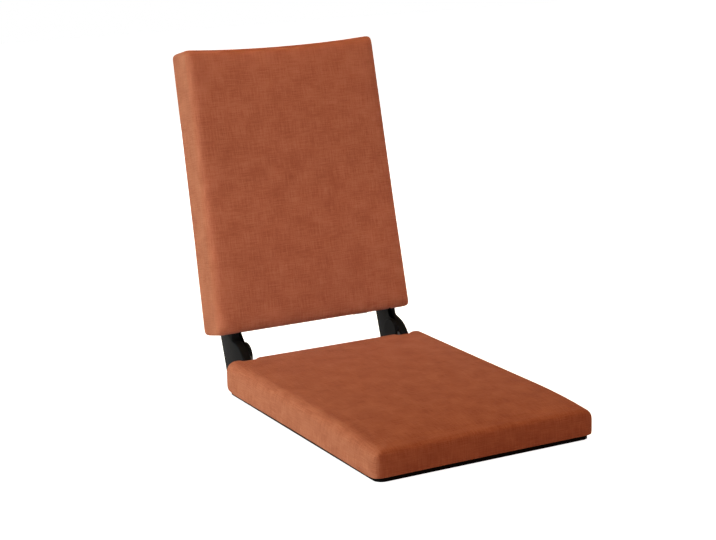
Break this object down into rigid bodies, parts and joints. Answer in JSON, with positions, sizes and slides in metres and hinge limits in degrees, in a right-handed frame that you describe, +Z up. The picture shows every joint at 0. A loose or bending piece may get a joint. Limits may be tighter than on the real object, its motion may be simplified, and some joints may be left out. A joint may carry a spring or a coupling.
{
  "type": "folding floor chair",
  "caption": "Legless floor chair with a padded seat on a thin moulded base and a padded back that folds forward onto it on two covered hinge arms.",
  "frame": {"origin": "middle of the underside of the base, on the floor", "axes": "+Z up, +Y towards the rear of the chair, +X across it"},
  "size_m": [0.3996, 0.7567, 0.5853],
  "materials": {
    "woven": "terracotta woven cloth",
    "moulded_black": "black, fine matte texture",
    "rubber_sheet": "matte black anti-slip",
    "steel_black": "black powder coat",
    "steel": "plain",
    "zinc": "zinc plated",
    "nylon": "natural nylon",
    "plywood": "raw plywood",
    "foam": "open-cell polyurethane foam",
    "zip_black": "coil zip"
  },
  "bodies": {
    "seat": {"anti_slip_sheet": "rubber_sheet", "base_tray": "moulded_black", "base_screws": "zinc", "seat_board": "plywood", "seat_tee_nuts": "zinc", "seat_foam": "foam", "seat_cover": "woven", "hinge_plate_left": "steel_black", "hinge_plate_right": "steel_black", "hinge_plate_bolts": "zinc", "stop_pin_left": "steel", "stop_pin_right": "steel", "pivot_bolt_left": "zinc", "pivot_bolt_right": "zinc", "pivot_nuts": "zinc", "spacer_rings": "zinc", "thrust_washers": "nylon", "disc_springs": "steel", "hinge_cap_left": "moulded_black", "hinge_cap_right": "moulded_black"},
    "back": {"back_arm_left": "steel_black", "back_arm_right": "steel_black", "pivot_bushes": "nylon", "arm_cover_outer_left": "moulded_black", "arm_cover_outer_right": "moulded_black", "arm_cover_inner_left": "moulded_black", "arm_cover_inner_right": "moulded_black", "cover_screws": "zinc", "back_board": "plywood", "back_bolts": "zinc", "back_tee_nuts": "zinc", "back_foam_front": "foam", "back_foam_rear": "foam", "back_cover": "woven", "back_zip": "zip_black"}
  },
  "joints": [
    {"name": "back_fold", "type": "hinge", "parent": "seat", "child": "back", "pos_m": [0, 0.2925, 0.057], "axis": [1, 0, 0], "range_deg": [0, 93]}
  ]
}
